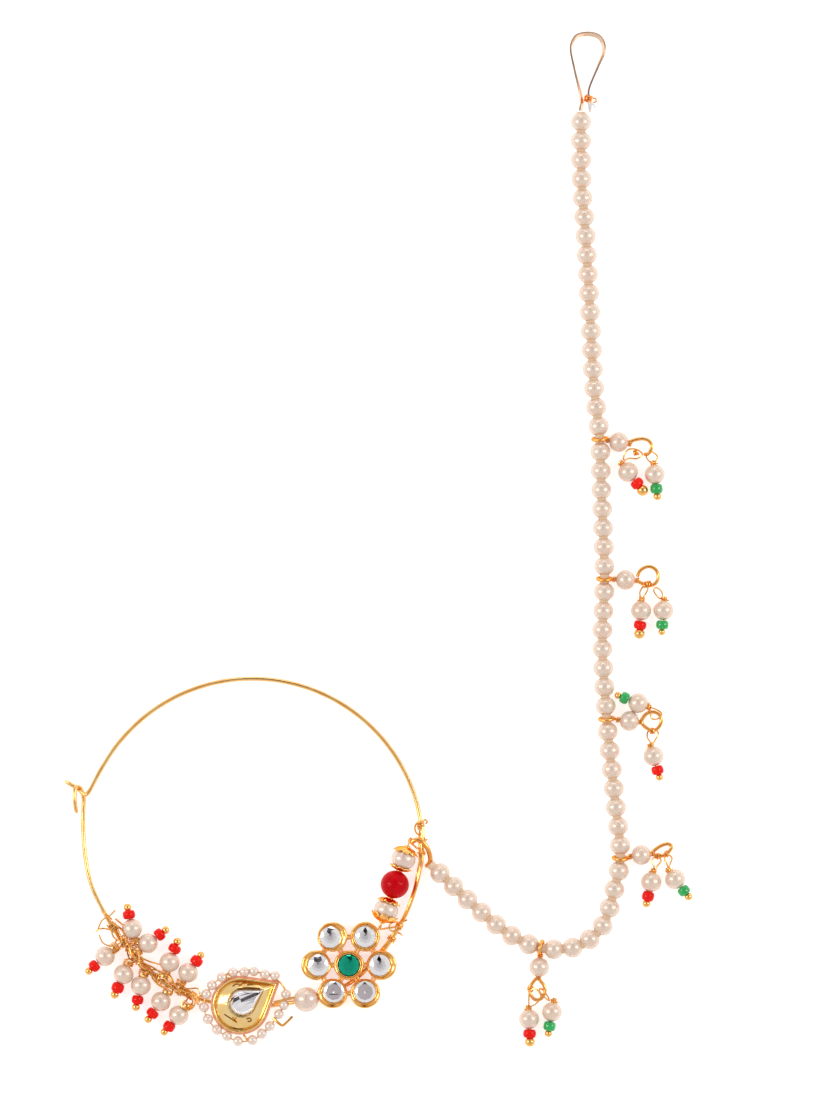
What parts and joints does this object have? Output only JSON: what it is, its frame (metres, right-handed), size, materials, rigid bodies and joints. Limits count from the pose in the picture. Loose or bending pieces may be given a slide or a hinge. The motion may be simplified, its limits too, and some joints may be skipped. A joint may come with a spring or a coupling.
{
  "type": "clip-on nose pin with pearl string and hair hook",
  "caption": "Round gold wire nose pin that clips to itself, with a stone flower, pear-shaped drop, pearl drops and a pearl string to a hair hook.",
  "frame": {"origin": "middle of the flower's flat back", "axes": "+Y towards the hair hook along the string, +X to the right of the face, +Z out of the face"},
  "size_m": [0.1132, 0.1822, 0.005],
  "materials": {
    "gold": "polished",
    "pearl": "pearly",
    "clear_stone": "foil-backed",
    "green_stone": "polished",
    "red_bead": "polished"
  },
  "bodies": {
    "root": {"bead_cap_bottom_inner": "gold", "bead_cap_bottom_outer": "gold", "bead_cap_top_inner": "gold", "bead_cap_top_outer": "gold", "chain_ring": "gold", "cluster_drop_inner_1": "pearl", "cluster_drop_inner_2": "pearl", "cluster_drop_inner_3": "pearl", "cluster_drop_inner_4": "pearl", "cluster_drop_outer_1": "pearl", "cluster_drop_outer_2": "pearl", "cluster_drop_outer_3": "pearl", "cluster_drop_outer_4": "pearl", "cluster_drop_outer_5": "pearl", "connecting_pearl": "pearl", "flower_setting": "gold", "flower_stone_clear_1": "clear_stone", "flower_stone_clear_2": "clear_stone", "flower_stone_clear_3": "clear_stone", "flower_stone_clear_4": "clear_stone", "flower_stone_clear_5": "clear_stone", "flower_stone_clear_6": "clear_stone", "flower_stone_green": "green_stone", "hair_hook": "gold", "hair_hook_binding": "gold", "hoop_binding": "gold", "hoop_wire": "gold", "kundan_border": "pearl", "kundan_setting": "gold", "kundan_stone": "clear_stone", "link_pearl_1": "pearl", "link_pearl_2": "pearl", "link_pearl_3": "pearl", "link_pearl_4": "pearl", "link_pearl_5": "pearl", "link_wire_1": "gold", "link_wire_2": "gold", "link_wire_3": "gold", "link_wire_4": "gold", "link_wire_5": "gold", "pearl_string": "pearl", "stack_pearl_bottom": "pearl", "stack_pearl_top": "pearl", "stack_red_bead": "red_bead", "stack_wire": "gold", "stem_binding_lower": "gold", "stem_binding_upper": "gold", "string_drop_1_green": "pearl", "string_drop_1_red": "pearl", "string_drop_2_green": "pearl", "string_drop_2_red": "pearl", "string_drop_3_green": "pearl", "string_drop_3_red": "pearl", "string_drop_4_green": "pearl", "string_drop_4_red": "pearl", "string_drop_5_green": "pearl", "string_drop_5_red": "pearl"}
  },
  "joints": []
}
